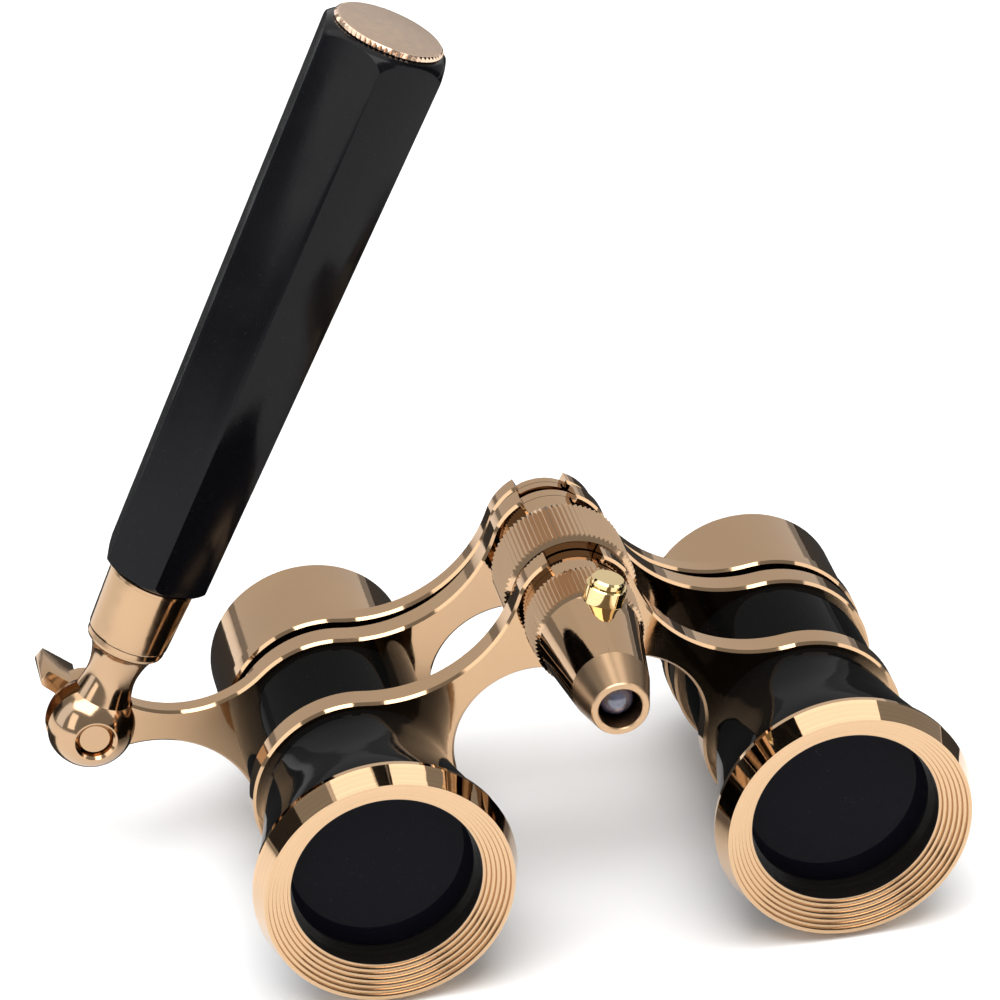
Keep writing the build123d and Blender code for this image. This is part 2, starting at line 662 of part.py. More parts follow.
# ---------------------------------------------------------------- handle
def along_handle(shape):
    """Place a solid drawn standing up Z from the pivot onto the leaning handle."""
    return Pos(PIVOT_X, PIVOT_Y, PIVOT_Z) * Rot(0, HANDLE_LEAN, 0) * shape


def stem_of(face):
    """A solid turned about Z from a face drawn in (radius, height)."""
    return revolve(Plane.XZ * face, axis=Axis.Z)


def stem(points):
    return stem_of(make_face(Polyline(*points, close=True)))


def hexagon(height, radius):
    return Pos(0, 0, height) * Rot(0, 0, GRIP_TURN - 90) * RegularPolygon(radius, 6)


def facet_offset():
    """Distance of the ball's flat ends from its centre."""
    return math.sqrt(BALL_R ** 2 - BALL_FACET_R ** 2)


def handle_head():
    """Ball and neck in one piece, slotted for the arm's eye and bored for the pin."""
    slot_t = ARM_T + SLOT_PLAY
    slot_y = REAR_PLATE_Y + ARM_T / 2 - PIVOT_Y
    root_r = NECK_WAIST_R + 0.75
    curve = [(root_r, 3.8), (NECK_WAIST_R, NECK_WAIST), (3.75, 10.4), (NECK_LIP_R - 0.15, NECK_LIP - 0.4)]
    neck = make_face([
        Line((0, 3.8), curve[0]),
        Spline(curve, tangents=[(-0.2, 1), (1, 0.7)]),
        Line(curve[-1], (NECK_LIP_R, NECK_LIP)),
        Line((NECK_LIP_R, NECK_LIP), (NECK_LIP_R, COLLAR_Y0 - 2 * RUNNING)),
        Line((NECK_LIP_R, COLLAR_Y0 - 2 * RUNNING), (SPIGOT_R, COLLAR_Y0 - 2 * RUNNING)),
        Line((SPIGOT_R, COLLAR_Y0 - 2 * RUNNING), (SPIGOT_R, SPIGOT_END)),
        Line((SPIGOT_R, SPIGOT_END), (0, SPIGOT_END)),
        Line((0, SPIGOT_END), (0, 3.8)),
    ])
    head = Sphere(BALL_R) + stem_of(neck)
    block = 2.4 * BALL_R
    for side in (-1, 1):
        head = head - Pos(0, side * (facet_offset() + BALL_R), 0) * Box(block, 2 * BALL_R, block)
    countersink = turned([
        (0, -facet_offset()),
        (PIN_R + RUNNING + PIN_BEVEL, -facet_offset()),
        (PIN_R + RUNNING, PIN_BEVEL - facet_offset()),
        (0, PIN_BEVEL - facet_offset()),
    ])
    bore = Rot(90, 0, 0) * Cylinder(PIN_R + RUNNING, 5 * BALL_R)
    eye_slot = Pos(0, slot_y, 0) * Rot(90, 0, 0) * Cylinder(EYE_R + EYE_PLAY, slot_t)
    mouth = make_face([
        arc((0, 0), MOUTH_R, 90 + NECK_SECTOR, 450 - NECK_SECTOR),
        Line(polar((0, 0), MOUTH_R, 450 - NECK_SECTOR), (0, 0)),
        Line((0, 0), polar((0, 0), MOUTH_R, 90 + NECK_SECTOR)),
    ])
    mouth = Pos(0, slot_y + slot_t / 2, 0) * Rot(90, 0, 0) * extrude(mouth, slot_t)
    return head - bore - countersink - eye_slot - mouth


def pivot_pin():
    """Pin through the ball and the arm's eye, its front end bevelled below the facet."""
    front = PIN_SUNK - facet_offset()
    return turned([
        (0, front),
        (PIN_R - PIN_BEVEL, front),
        (PIN_R, front + PIN_BEVEL),
        (PIN_R, PIN_TAIL),
        (0, PIN_TAIL),
    ])


def handle_collar():
    """Slightly tapered gold collar with a rolled lip, over the neck's spigot."""
    lip = COLLAR_Y1 - COLLAR_LIP
    tube_seat = INNER_TUBE_R + RUNNING / 2
    spigot_seat = SPIGOT_R + RUNNING / 2
    return stem([
        (spigot_seat, COLLAR_Y0),
        (COLLAR_LOW_R - 0.15, COLLAR_Y0),
        (COLLAR_LOW_R, COLLAR_Y0 + 0.25),
        (COLLAR_TOP_R, lip - 0.1),
        (COLLAR_LIP_R, lip),
        (COLLAR_LIP_R, COLLAR_Y1 - 0.2),
        (COLLAR_LIP_R - 0.2, COLLAR_Y1),
        (tube_seat, COLLAR_Y1),
        (tube_seat, INNER_TUBE_Y0 - RUNNING),
        (spigot_seat, INNER_TUBE_Y0 - RUNNING),
    ])


def handle_grip():
    """Six-sided tapering grip with rounded-off ends, hollow for the inner tube."""
    grip = loft([hexagon(GRIP_Y0, GRIP_LOW_R), hexagon(GRIP_Y1, GRIP_TOP_R)])
    low = [
        (GRIP_LOW_R - 0.75, GRIP_Y0),
        (GRIP_LOW_R - 0.1, GRIP_Y0 + 0.7),
        (GRIP_LOW_R + 0.15, GRIP_Y0 + 2.2),
    ]
    top = [(GRIP_TOP_R + 0.1, GRIP_Y1 - 2.5), (8.55, GRIP_Y1 - 0.75), (CAP_R + 0.05, GRIP_Y1)]
    ends = make_face([
        Line((0, GRIP_Y0), low[0]),
        ThreePointArc(*low),
        Line(low[-1], top[0]),
        ThreePointArc(*top),
        Line(top[-1], (0, GRIP_Y1)),
        Line((0, GRIP_Y1), (0, GRIP_Y0)),
    ])
    plug_seat = CAP_PLUG_R + RUNNING
    hollow = stem([
        (0, GRIP_Y0 - OVERCUT),
        (GRIP_BORE_R, GRIP_Y0 - OVERCUT),
        (GRIP_BORE_R, GRIP_BORE_END),
        (plug_seat, GRIP_BORE_END),
        (plug_seat, GRIP_Y1 + OVERCUT),
        (0, GRIP_Y1 + OVERCUT),
    ])
    return (grip & stem_of(ends)) - hollow


def handle_cap():
    """Slightly domed end cap with a beaded rim, plugged into the grip."""
    base = GRIP_Y1 + RUNNING
    face_r = CAP_R - BEAD_DEPTH
    crown = make_face([
        Line((0, base), (face_r, base)),
        Line((face_r, base), (face_r, base + CAP_BAND)),
        dished(face_r, base + CAP_BAND, base + CAP_BAND + CAP_DOME),
        Line((0, base + CAP_BAND + CAP_DOME), (0, base)),
    ])
    plug = Pos(0, 0, base - CAP_PLUG_T / 2) * Cylinder(CAP_PLUG_R, CAP_PLUG_T + 2 * RUNNING)
    rim = Pos(0, 0, base) * extrude(toothed(CAP_R, CAP_BEADS, BEAD_DEPTH), CAP_BAND)
    trim = stem([
        (0, base),
        (face_r, base),
        (CAP_R, base + BEAD_DEPTH * 0.8),
        (CAP_R, base + CAP_BAND - BEAD_DEPTH * 0.8),
        (face_r, base + CAP_BAND),
        (0, base + CAP_BAND),
    ])
    return stem_of(crown) + plug + (rim & trim)


def handle_parts():
    """Everything drawn along the handle's own axis, then leaned into place."""
    bush_y = GRIP_Y0 + 0.6
    bush_bore = INNER_TUBE_R + RUNNING
    stop_y = INNER_TUBE_Y1 - 2
    parts = {
        "handle_head": handle_head(),
        "pivot_pin": pivot_pin(),
        "handle_collar": handle_collar(),
        "handle_inner_tube": stem([
            (INNER_TUBE_BORE_R, INNER_TUBE_Y0),
            (INNER_TUBE_R, INNER_TUBE_Y0),
            (INNER_TUBE_R, INNER_TUBE_Y1),
            (INNER_TUBE_BORE_R, INNER_TUBE_Y1),
        ]),
        "slide_bush": stem([
            (bush_bore, bush_y),
            (BUSH_OUT_R, bush_y),
            (BUSH_OUT_R, bush_y + SLIDE_BUSH_T),
            (bush_bore, bush_y + SLIDE_BUSH_T),
        ]),
        "stop_ring": stem([
            (INNER_TUBE_R, stop_y),
            (STOP_RING_R, stop_y),
            (STOP_RING_R, stop_y + STOP_RING_T),
            (INNER_TUBE_R, stop_y + STOP_RING_T),
        ]),
        "handle_grip": handle_grip(),
        "handle_cap": handle_cap(),
    }
    return {name: along_handle(shape) for name, shape in parts.items()}


def lock_lever():
    """Thumb lever on the back end of the pivot pin."""
    y0 = PIVOT_Y + facet_offset() + 2 * RUNNING
    profile = make_face(Polyline(
        LEVER_TIP_TOP, LEVER_TIP_LOW, LEVER_HEEL_LOW, LEVER_HEEL_TOP, close=True
    ))
    blade = slab(Pos(*PIVOT) * profile, y0 + 0.2, LEVER_T)
    tip_edges = blade.edges().filter_by(Axis.Y).sort_by(Axis.X)[0]
    blade = fillet(tip_edges, LEVER_TIP_ROUND)
    hub = rod(LEVER_HUB_R, y0, y0 + LEVER_HUB_T, *PIVOT)
    return blade + hub - rod(PIN_R, y0 - OVERCUT, PIVOT_Y + PIN_TAIL, *PIVOT)


# ---------------------------------------------------------------- the whole object
def build():
    """Every sub-part in working axes, by node name."""
    nodes = {}
    front = (FRONT_PLATE_Y, PLATE_T, PLATE_RING_R, PLATE_TOP_HUB_R, PLATE_LOW_HUB_R, LUG_R)
    rear = (REAR_PLATE_Y, PLATE_T, PLATE_RING_R, PLATE_TOP_HUB_R, PLATE_LOW_HUB_R, LUG_R)
    ocular = (
        OCULAR_PLATE_Y, OCULAR_PLATE_T, OCULAR_RING_R, OCULAR_HUB_R, PLATE_LOW_HUB_R, OCULAR_LUG_R
    )
    loose = BUSH_R + RUNNING
    nodes["front_plate_left"] = bridge_plate(front, TUBE_R, BUSH_R, True)
    nodes["front_plate_right"] = mirrored(bridge_plate(front, TUBE_R, loose, False))
    nodes["rear_plate_left"] = bridge_plate(rear, TUBE_R, BUSH_R, True, arm=handle_arm())
    nodes["rear_plate_right"] = mirrored(bridge_plate(rear, TUBE_R, loose, False))
    nodes["ocular_plate_left"] = bridge_plate(ocular, EYE_TUBE_R, BUSH_R, True)
    nodes["ocular_plate_right"] = mirrored(bridge_plate(ocular, EYE_TUBE_R, loose, False))
    for side in ("left", "right"):
        place = mirrored if side == "right" else lambda shape: shape
        shift = DIOPTRE_SET if side == "right" else 0.0
        nodes[f"barrel_tube_{side}"] = place(barrel_tube())
        nodes[f"objective_rim_{side}"] = place(objective_rim())
        nodes[f"objective_lens_{side}"] = place(objective_lens())
        nodes[f"objective_retainer_{side}"] = place(objective_retainer())
        nodes[f"eyepiece_tube_{side}"] = place(eyepiece_tube())
        nodes[f"eyecup_{side}"] = place(eyecup(shift))
        nodes[f"eye_lens_{side}"] = place(eye_lens(shift))
        nodes[f"eye_lens_ring_{side}"] = place(eye_lens_ring(shift))
    nodes.update(hinge_parts())
    nodes.update(torch_parts())
    nodes.update(handle_parts())
    nodes["lock_lever"] = lock_lever()
    return nodes


def origin_shift(nodes):
    """From working axes to the row's axes: origin at the bottom centre of the whole object."""
    boxes = [shape.bounding_box() for shape in nodes.values()]
    low = [min(tuple(box.min)[i] for box in boxes) for i in range(3)]
    high = [max(tuple(box.max)[i] for box in boxes) for i in range(3)]
    return (-(low[0] + high[0]) / 2, -(low[1] + high[1]) / 2, -low[2])


def main():
    os.makedirs("parts", exist_ok=True)
    nodes = build()
    shift = origin_shift(nodes)
    for name, shape in nodes.items():
        export_step(Pos(*shift) * shape, f"parts/{name}.step")
    print("nodes", len(nodes), "shift", [round(value, 4) for value in shift])


main()
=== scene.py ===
import json
import math

import bmesh
import bpy
from mathutils import Matrix, Vector


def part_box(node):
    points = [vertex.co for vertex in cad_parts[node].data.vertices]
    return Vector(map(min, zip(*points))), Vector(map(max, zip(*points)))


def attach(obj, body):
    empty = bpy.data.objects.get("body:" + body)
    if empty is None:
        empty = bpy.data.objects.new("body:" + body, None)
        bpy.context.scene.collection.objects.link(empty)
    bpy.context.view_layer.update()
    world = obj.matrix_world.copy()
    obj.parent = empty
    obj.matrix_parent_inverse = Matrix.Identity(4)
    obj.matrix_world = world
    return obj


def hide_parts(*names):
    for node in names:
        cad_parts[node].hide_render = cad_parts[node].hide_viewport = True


MM = 0.001
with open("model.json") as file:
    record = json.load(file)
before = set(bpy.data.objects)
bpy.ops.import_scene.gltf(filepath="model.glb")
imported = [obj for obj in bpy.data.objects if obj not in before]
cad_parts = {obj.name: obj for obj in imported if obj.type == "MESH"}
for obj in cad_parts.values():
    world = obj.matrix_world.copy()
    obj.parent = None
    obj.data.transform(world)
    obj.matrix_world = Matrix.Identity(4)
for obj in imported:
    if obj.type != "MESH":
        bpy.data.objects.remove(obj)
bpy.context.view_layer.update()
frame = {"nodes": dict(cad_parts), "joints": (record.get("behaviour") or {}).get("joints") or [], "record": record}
nodes = frame["nodes"]
subparts = frame["record"]["subparts"]
joints = {joint["name"]: joint for joint in frame["joints"]}
body_names = {
    node: body for body, members in frame["record"]["behaviour"]["bodies"].items() for node in members
}

# ---------------------------------------------------------------- places and sizes
HINGE = Vector(joints["ipd_fold"]["pos_m"])            # on the hinge line, at the front plates
HANDLE_DIRECTION = Vector(joints["handle_extend"]["axis"]).normalized()
RIM_LOW, RIM_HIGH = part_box("objective_rim_right")
BARREL = (Vector(RIM_LOW) + Vector(RIM_HIGH)) / 2      # x and z of the right barrel's axis
BARREL_SPACING = BARREL.x - HINGE.x
BLACKENED_R = 12.56 * MM                               # the rims are black inside this
RIM_FACE_R = 16.3 * MM                                 # outside this a rim is a polished band
NOSE_LENGTH = 5.64 * MM                                # short front cone of the torch
CAP_FACE_DEPTH = 0.34 * MM                             # the cap is satin within this of its top
LENS_SAG = 0.95 * MM                                   # how far a lens's edge lies behind its middle
LENS_RINGS = 14
LENS_SEGMENTS = 120
WELD = 0.002 * MM                                      # vertices closer than this are one
FLAT = math.radians(0.4)                               # faces within this lie in one plane
SHARP = math.radians(28)                               # edges steeper than this are rounded
CREASE = math.radians(40)                              # edges steeper than this stay sharp when shaded
ROUNDING_STEPS = 3
GRIP_EDGE_R = 0.45 * MM
LEVER_EDGE_R = 0.3 * MM

# ---------------------------------------------------------------- colours, linear
GOLD = (0.465, 0.308, 0.186)
GOLD_WARM = (0.505, 0.328, 0.188)
KNURL_GOLD = (0.53, 0.36, 0.225)
KNURL_WARM = (0.57, 0.38, 0.23)
BUTTON_GOLD = (0.74, 0.56, 0.27)
BUTTON_WARM = (0.78, 0.60, 0.32)
TURNED_DARK = (0.55, 0.37, 0.222)
TURNED_LIGHT = (0.62, 0.415, 0.245)
BORE_BLACK = (0.01, 0.009, 0.008)
CAP_RIM = (0.72, 0.52, 0.38)
CAP_DARK = (0.50, 0.37, 0.28)
CAP_LIGHT = (0.56, 0.41, 0.30)
LAMP_DEEP = (0.012, 0.013, 0.035)
# pale swirls of painted reflection in the lamp's dome
LAMP_PAINTED_REFLECTION = (0.10, 0.11, 0.19)

# ---------------------------------------------------------------- texture scales, in cycles per metre
DRIFT = 60            # colour drift of plating
SMEARS = 260          # wiped patches on plating
WAVES = 900           # buffing waves on plating
BLACK_SMEARS = 120
DUST = 2600
PEEL = 1400           # orange peel of enamel
MOTTLE = 800
CAP_MOTTLE = 900
CAP_GRAIN = 3500
TURNING = 5200        # tool marks across a rim's face
PAINTED_REFLECTION_SWIRL = 420           # painted reflections swirling in the lamp's opaque dome

MIX_A, MIX_B, MIX_RESULT = 6, 7, 2                     # colour sockets of a Mix node


# ---------------------------------------------------------------- material helpers
class Surface:
    """A node material on a Principled shader, with short ways to build it."""

    def __init__(self, name):
        self.material = bpy.data.materials.new(name)
        self.material.use_nodes = True
        self.nodes = self.material.node_tree.nodes
        self.links = self.material.node_tree.links
        self.shader = self.nodes["Principled BSDF"]
        self.where = self.nodes.new("ShaderNodeTexCoord").outputs["Object"]

    def feed(self, socket, value):
        """Links an output to a socket, or sets a constant on it. A colour gets an alpha of 1."""
        if isinstance(value, bpy.types.NodeSocket):
            self.links.new(value, socket)
        elif isinstance(value, tuple):
            socket.default_value = (*value, 1)
        else:
            socket.default_value = value

    def put(self, name, value):
        """Feeds one input of the shader."""
        self.feed(self.shader.inputs[name], value)

    def noise(self, scale, detail=4.0):
        """Noise in object space."""
        texture = self.nodes.new("ShaderNodeTexNoise")
        texture.inputs["Scale"].default_value = scale
        texture.inputs["Detail"].default_value = detail
        self.links.new(self.where, texture.inputs["Vector"])
        return texture.outputs["Fac"]

    def between(self, value, low, high, low_at=0.35, high_at=0.65):
        """A number or colour between two ends, driven by a texture."""
        blend = self.nodes.new("ShaderNodeValToRGB")
        ends = blend.color_ramp.elements
        for end, place, level in ((ends[0], low_at, low), (ends[1], high_at, high)):
            end.position = place
            end.color = (*level, 1) if isinstance(level, tuple) else (level, level, level, 1)
        self.links.new(value, blend.inputs["Fac"])
        return blend.outputs["Color"]

    def either(self, factor, first, second):
        """The first colour where the factor is 0, and the second where it is 1."""
        blend = self.nodes.new("ShaderNodeMix")
        blend.data_type = "RGBA"
        self.links.new(factor, blend.inputs["Factor"])
        self.feed(blend.inputs[MIX_A], first)
        self.feed(blend.inputs[MIX_B], second)
        return blend.outputs[MIX_RESULT]

    def work_out(self, operation, *values):
        """One arithmetic step on outputs and numbers."""
        step = self.nodes.new("ShaderNodeMath")
        step.operation = operation
        for socket, value in zip(step.inputs, values):
            self.feed(socket, value)
        return step.outputs["Value"]

    def split(self):
        """Object-space x, y and z."""
        place = self.nodes.new("ShaderNodeSeparateXYZ")
        self.links.new(self.where, place.inputs["Vector"])
        return place.outputs

    def relief(self, height, strength, distance):
        """Fine relief on the shader's normal."""
        bump = self.nodes.new("ShaderNodeBump")
        bump.inputs["Strength"].default_value = strength
        bump.inputs["Distance"].default_value = distance
        self.links.new(height, bump.inputs["Height"])
        self.links.new(bump.outputs["Normal"], self.shader.inputs["Normal"])


def plated(name, colour, warm, rough, relief=0.02, waves=WAVES):
    """Polished plating: slow colour drift, cloudy roughness and the faint waviness of a buffed face."""
    surface = Surface(name)
    surface.put("Metallic", 1.0)
    surface.put("Base Color", surface.between(surface.noise(DRIFT), colour, warm))
    surface.put("Roughness", surface.between(surface.noise(SMEARS, detail=6.0), *rough))
    surface.relief(surface.noise(waves, detail=3.0), relief, distance=0.2 * MM)
    return surface


def gloss_black(name, colour, rough, peel, shine):
    """Black enamel, lacquer or coated glass: deep colour, clean gloss, a little orange peel and dust."""
    surface = Surface(name)
    surface.put("Specular IOR Level", shine)
    dusty = tuple(3 * channel + 0.004 for channel in colour)
    dust = surface.noise(DUST, detail=2.0)
    surface.put("Base Color", surface.between(dust, colour, dusty, low_at=0.66, high_at=0.8))
    surface.put("Roughness", surface.between(surface.noise(BLACK_SMEARS, detail=5.0), *rough))
    surface.relief(surface.noise(PEEL, detail=2.0), peel, distance=0.1 * MM)
    return surface


def simple(name, colour, metallic, rough):
    """A plain technical surface with mottled colour and roughness."""
    surface = Surface(name)
    surface.put("Metallic", metallic)
    mottle = surface.noise(MOTTLE)
    darker = tuple(0.75 * channel for channel in colour)
    surface.put("Base Color", surface.between(mottle, darker, colour))
    surface.put("Roughness", surface.between(mottle, 0.8 * rough, 1.2 * rough))
    return surface


def turned_gold():
    """Objective rims: fine rings on the face, a polished band round it and a blackened bore."""
    surface = Surface("gold_turned")
    place = surface.split()
    side = surface.work_out("ABSOLUTE", surface.work_out("SUBTRACT", place["X"], HINGE.x))
    across = surface.nodes.new("ShaderNodeCombineXYZ")
    surface.feed(across.inputs["X"], surface.work_out("SUBTRACT", side, BARREL_SPACING))
    surface.feed(across.inputs["Z"], surface.work_out("SUBTRACT", place["Z"], BARREL.z))
    length = surface.nodes.new("ShaderNodeVectorMath")
    length.operation = "LENGTH"
    surface.feed(length.inputs[0], across.outputs["Vector"])
    radius = length.outputs["Value"]
    turning = surface.nodes.new("ShaderNodeTexNoise")
    turning.noise_dimensions = "1D"
    turning.inputs["Scale"].default_value = TURNING
    turning.inputs["Detail"].default_value = 2
    surface.feed(turning.inputs["W"], radius)
    rings = turning.outputs["Fac"]
    bore = surface.work_out("LESS_THAN", radius, BLACKENED_R)
    face = surface.work_out("LESS_THAN", radius, RIM_FACE_R)
    gold = surface.between(rings, TURNED_DARK, TURNED_LIGHT)
    surface.put("Base Color", surface.either(bore, gold, BORE_BLACK))
    surface.put("Metallic", surface.work_out("LESS_THAN", bore, 0.5))
    satin = surface.work_out("MULTIPLY", face, surface.between(rings, 0.17, 0.26))
    surface.put("Roughness", surface.work_out("MAXIMUM", satin, 0.04))
    surface.relief(surface.work_out("MULTIPLY", face, rings), 0.25, distance=0.04 * MM)
    return surface


def cap_gold():
    """End cap of the handle: satin face, with a bright beaded rim below it."""
    surface = Surface("gold_cap")
    along = surface.nodes.new("ShaderNodeVectorMath")
    along.operation = "DOT_PRODUCT"
    along.inputs[1].default_value = HANDLE_DIRECTION
    surface.feed(along.inputs[0], surface.where)
    top = max(vertex.co.dot(HANDLE_DIRECTION) for vertex in nodes["handle_cap"].data.vertices)
    face = surface.work_out("GREATER_THAN", along.outputs["Value"], top - CAP_FACE_DEPTH)
    satin = surface.between(surface.noise(CAP_MOTTLE, detail=5.0), CAP_DARK, CAP_LIGHT)
    surface.put("Metallic", 1.0)
    surface.put("Base Color", surface.either(face, CAP_RIM, satin))
    surface.put("Roughness", surface.work_out("MULTIPLY_ADD", face, 0.28, 0.07))
    surface.relief(surface.noise(CAP_GRAIN, detail=2.0), 0.12, distance=0.05 * MM)
    return surface


def torch_gold():
    """Mirror-polished torch, with a satin front cone."""
    surface = plated("gold_torch", GOLD, GOLD_WARM, rough=(0.03, 0.06))
    cone_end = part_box("torch_nose")[0][1] + NOSE_LENGTH
    cone = surface.work_out("LESS_THAN", surface.split()["Y"], cone_end)
    polish = surface.shader.inputs["Roughness"].links[0].from_socket
    satin = surface.work_out("MULTIPLY", cone, 0.24)
    surface.put("Roughness", surface.work_out("ADD", satin, polish))
    return surface


def lamp_epoxy():
    """Clear lamp dome over a dark blue die, seen as a deep glossy bead; its pale swirls are painted reflections in
    the dome.
    """
    surface = Surface("led_epoxy")
    painted_swirl = surface.noise(PAINTED_REFLECTION_SWIRL, detail=3.0)
    # the pale parts of the swirl are painted reflections; the deep blue is the die's own colour
    surface.put("Base Color", surface.between(painted_swirl, LAMP_DEEP, LAMP_PAINTED_REFLECTION, low_at=0.4, high_at=0.7))
    surface.put("Roughness", surface.between(painted_swirl, 0.05, 0.15))
    surface.put("Specular IOR Level", 0.9)
    surface.put("Coat Weight", 1.0)
    surface.put("Coat Roughness", 0.02)
    return surface


surfaces = {
    "gold_polished": plated("gold_polished", GOLD, GOLD_WARM, rough=(0.03, 0.075)),
    "gold_knurled": plated("gold_knurled", KNURL_GOLD, KNURL_WARM, rough=(0.05, 0.10)),
    "gold_turned": turned_gold(),
    "gold_button": plated("gold_button", BUTTON_GOLD, BUTTON_WARM, rough=(0.05, 0.11)),
    "gold_cap": cap_gold(),
    "black_enamel": gloss_black(
        "black_enamel", (0.003, 0.003, 0.003), rough=(0.04, 0.09), peel=0.02, shine=0.02
    ),
    "black_lacquer": gloss_black(
        "black_lacquer", (0.003, 0.003, 0.004), rough=(0.10, 0.18), peel=0.03, shine=0.14
    ),
    "coated_glass": gloss_black(
        "coated_glass", (0.004, 0.004, 0.007), rough=(0.01, 0.03), peel=0.0, shine=0.06
    ),
    "black_anodised": simple("black_anodised", (0.012, 0.012, 0.013), metallic=0.0, rough=0.5),
    "nickel": simple("nickel", (0.72, 0.70, 0.66), metallic=1.0, rough=0.18),
    "steel": simple("steel", (0.55, 0.55, 0.55), metallic=1.0, rough=0.3),
    "acetal": simple("acetal", (0.8, 0.8, 0.76), metallic=0.0, rough=0.45),
    "circuit_board": simple("circuit_board", (0.012, 0.016, 0.05), metallic=0.0, rough=0.35),
    "led_epoxy": lamp_epoxy(),
}
for part in subparts:
    node = nodes[part["node"]]
    node.data.materials.clear()
    node.data.materials.append(surfaces[part["material_slot"]].material)
nodes["torch_nose"].data.materials[0] = torch_gold().material
buffed = plated("gold_buffed", GOLD, GOLD_WARM, rough=(0.10, 0.17), relief=0.04, waves=700)
for name in ("handle_head", "handle_collar", "lock_lever", "pivot_pin"):
    nodes[name].data.materials[0] = buffed.material


# ---------------------------------------------------------------- pieces shown instead of CAD nodes
def stand_in(name, mesh):
    """Shows a mesh instead of a CAD node, on the same body and in the same material."""
    mesh.shade_smooth()
    mesh.set_sharp_from_angle(angle=CREASE)
    mesh.materials.append(nodes[name].data.materials[0])
    piece = bpy.data.objects.new(f"{name}_shown", mesh)
    bpy.context.scene.collection.objects.link(piece)
    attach(piece, body_names[name])
    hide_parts(name)


def eased(name, radius):
    """A CAD node with its sharp edges rounded."""
    form = bmesh.new()
    form.from_mesh(nodes[name].data)
    bmesh.ops.remove_doubles(form, verts=form.verts, dist=WELD)
    bmesh.ops.dissolve_limit(form, angle_limit=FLAT, verts=form.verts, edges=form.edges)
    edges = [edge for edge in form.edges if edge.is_manifold and edge.calc_face_angle(0) > SHARP]
    bmesh.ops.bevel(
        form, geom=edges, offset=radius, segments=ROUNDING_STEPS, profile=0.5,
        affect="EDGES", clamp_overlap=True,
    )
    mesh = bpy.data.meshes.new(f"{name}_shown")
    form.to_mesh(mesh)
    form.free()
    stand_in(name, mesh)


def turned_lens(name):
    """A front lens spun afresh, with an even dome and a flat back."""
    low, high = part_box(name)
    axis = Vector(((low[0] + high[0]) / 2, 0, (low[2] + high[2]) / 2))
    radius = (high[0] - low[0]) / 2
    steps = [i / LENS_RINGS for i in range(1, LENS_RINGS + 1)]
    profile = [(radius * t, low[1] + LENS_SAG * t * t) for t in steps] + [(radius, high[1])]
    turns = [2 * math.pi * i / LENS_SEGMENTS for i in range(LENS_SEGMENTS)]
    points = [(axis.x, low[1], axis.z)]
    for r, y in profile:
        points += [(axis.x + r * math.cos(turn), y, axis.z + r * math.sin(turn)) for turn in turns]
    points.append((axis.x, high[1], axis.z))
    pairs = [(i, (i + 1) % LENS_SEGMENTS) for i in range(LENS_SEGMENTS)]
    faces = [(0, 1 + i, 1 + j) for i, j in pairs]
    for k in range(len(profile) - 1):
        inner, outer = 1 + k * LENS_SEGMENTS, 1 + (k + 1) * LENS_SEGMENTS
        faces += [(inner + i, outer + i, outer + j, inner + j) for i, j in pairs]
    last = 1 + (len(profile) - 1) * LENS_SEGMENTS
    faces += [(last + i, len(points) - 1, last + j) for i, j in pairs]
    mesh = bpy.data.meshes.new(f"{name}_shown")
    mesh.from_pydata(points, [], faces)
    stand_in(name, mesh)


eased("handle_grip", GRIP_EDGE_R)
eased("lock_lever", LEVER_EDGE_R)
turned_lens("objective_lens_left")
turned_lens("objective_lens_right")


# ---------------------------------------------------------------- studio
UP = Vector((0, 0, 1))
AIM = Vector((0, 0, 0.03))                             # what the cards and the light face
FLOOR_WHITE = (0.95, 0.95, 0.95)
CARD_BLACK = (0.01, 0.01, 0.01)
WARM_LIGHT = (1.0, 0.99, 0.98)
COOL_LIGHT = (0.82, 0.89, 1.0)
MATTE = 0.9
WORLD_LIGHT = 0.36
KEY_POWER = 30
KEY_SIZE = 1.4


def matte(name, colour):
    """A dull single-colour material for the stage."""
    surface = Surface(name)
    surface.put("Base Color", colour)
    surface.put("Roughness", MATTE)
    return surface.material


def glowing(name, radiance, tint):
    """A material that only gives light."""
    material = bpy.data.materials.new(name)
    material.use_nodes = True
    tree = material.node_tree
    tree.nodes.remove(tree.nodes["Principled BSDF"])
    glow = tree.nodes.new("ShaderNodeEmission")
    glow.inputs["Color"].default_value = (*tint, 1)
    glow.inputs["Strength"].default_value = radiance
    tree.links.new(glow.outputs["Emission"], tree.nodes["Material Output"].inputs["Surface"])
    return material


def stage_plane(name, size, location, direction, material):
    """A flat stage card facing a direction."""
    bpy.ops.mesh.primitive_plane_add(size=1)
    card = bpy.context.object
    card.name = name
    card.scale = (*size, 1)
    card.location = location
    card.rotation_mode = "QUATERNION"
    card.rotation_quaternion = direction.to_track_quat("Z", "Y")
    card.data.materials.append(material)
    return card


def light_card(name, size, location, radiance, tint=WARM_LIGHT):
    """A glowing card that faces the object. The camera doesn't see it."""
    card = stage_plane(name, size, location, AIM - Vector(location), glowing(name, radiance, tint))
    card.visible_camera = False


def dark_card(name, size, location, direction=None):
    """A black card seen only in reflections. It faces the object if no direction is given."""
    if direction is None:
        direction = AIM - Vector(location)
    card = stage_plane(name, size, location, direction, matte(name, CARD_BLACK))
    card.visible_camera = False
    card.visible_shadow = False
    card.visible_diffuse = False


def key_light(location):
    """A large soft light above the object."""
    data = bpy.data.lights.new("key", "AREA")
    data.shape = "RECTANGLE"
    data.size = KEY_SIZE
    data.size_y = KEY_SIZE
    data.energy = KEY_POWER
    light = bpy.data.objects.new("key", data)
    light.location = location
    light.rotation_mode = "QUATERNION"
    light.rotation_quaternion = (AIM - Vector(location)).to_track_quat("-Z", "Y")
    bpy.context.scene.collection.objects.link(light)


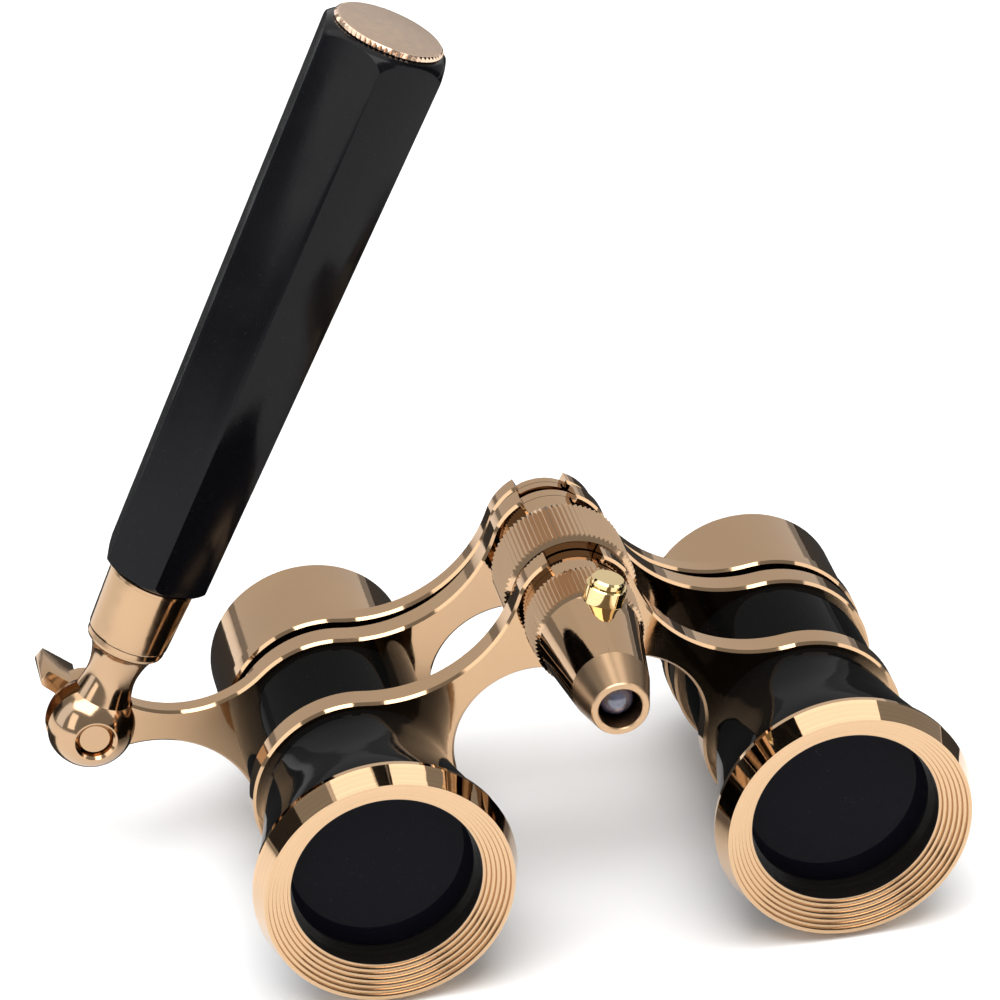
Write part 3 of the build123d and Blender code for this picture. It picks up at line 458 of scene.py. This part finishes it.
def white_world():
    """An even white surround, and plain colour handling."""
    world = bpy.data.worlds.new("studio")
    world.use_nodes = True
    background = world.node_tree.nodes["Background"]
    background.inputs["Color"].default_value = (1, 1, 1, 1)
    background.inputs["Strength"].default_value = WORLD_LIGHT
    bpy.context.scene.world = world
    bpy.context.scene.view_settings.view_transform = "Standard"
    bpy.context.scene.view_settings.look = "None"


stage_plane("floor", (6, 6), (0, 0, 0), UP, matte("floor", FLOOR_WHITE))
white_world()
light_card("backdrop", (2.4, 0.9), (0, 1.1, 0.55), 0.85)
light_card("left_panel", (0.4, 0.9), (-0.85, 0.05, 0.45), 1.7, COOL_LIGHT)
light_card("right_panel", (0.35, 0.8), (0.8, -0.25, 0.45), 2.0)
light_card("top_panel", (1.1, 0.6), (0.05, 0.3, 0.9), 2.0)
light_card("front_left_panel", (0.3, 0.6), (-0.72, -0.42, 0.42), 2.2)
dark_card("dark_right", (0.25, 0.7), (0.68, 0.22, 0.35))
dark_card("dark_left", (0.22, 0.4), (-0.75, 0.42, 0.25))
dark_card("dark_above", (0.1, 0.22), (0.15, 0.42, 0.72))
dark_card("dark_ground", (0.9, 1.14), (0.35, 0.59, 0.002), UP)
light_card("upper_backdrop", (1.6, 0.55), (0, 0.85, 1.15), 0.9)
key_light((-0.1, -0.1, 1.3))


# ---------------------------------------------------------------- camera
CAMERA_FROM_HINGE = Vector((-120.99, -587.85, 359.66)) * MM
CAMERA_AZIMUTH = math.radians(-10.72)                  # to the left of straight ahead
CAMERA_ELEVATION = math.radians(29.75)
CAMERA_ROLL = math.radians(-2.07)
LENS_MM = 193.19
SENSOR_MM = 36


def place_camera():
    """The view: from the front, 11 degrees to the left and 30 above, with a long lens."""
    right = Vector((math.cos(CAMERA_AZIMUTH), math.sin(CAMERA_AZIMUTH), 0))
    back = Vector((
        math.sin(CAMERA_AZIMUTH) * math.cos(CAMERA_ELEVATION),
        -math.cos(CAMERA_AZIMUTH) * math.cos(CAMERA_ELEVATION),
        math.sin(CAMERA_ELEVATION),
    ))
    up = back.cross(right)
    right, up = (
        math.cos(CAMERA_ROLL) * right + math.sin(CAMERA_ROLL) * up,
        -math.sin(CAMERA_ROLL) * right + math.cos(CAMERA_ROLL) * up,
    )
    data = bpy.data.cameras.new("camera")
    data.sensor_width = SENSOR_MM
    data.lens = LENS_MM
    data.clip_start = 0.05
    data.clip_end = 20
    camera = bpy.data.objects.new("camera", data)
    camera.matrix_world = Matrix((right, up, back)).transposed().to_4x4()
    camera.location = HINGE + CAMERA_FROM_HINGE
    bpy.context.scene.collection.objects.link(camera)
    bpy.context.scene.camera = camera


place_camera()
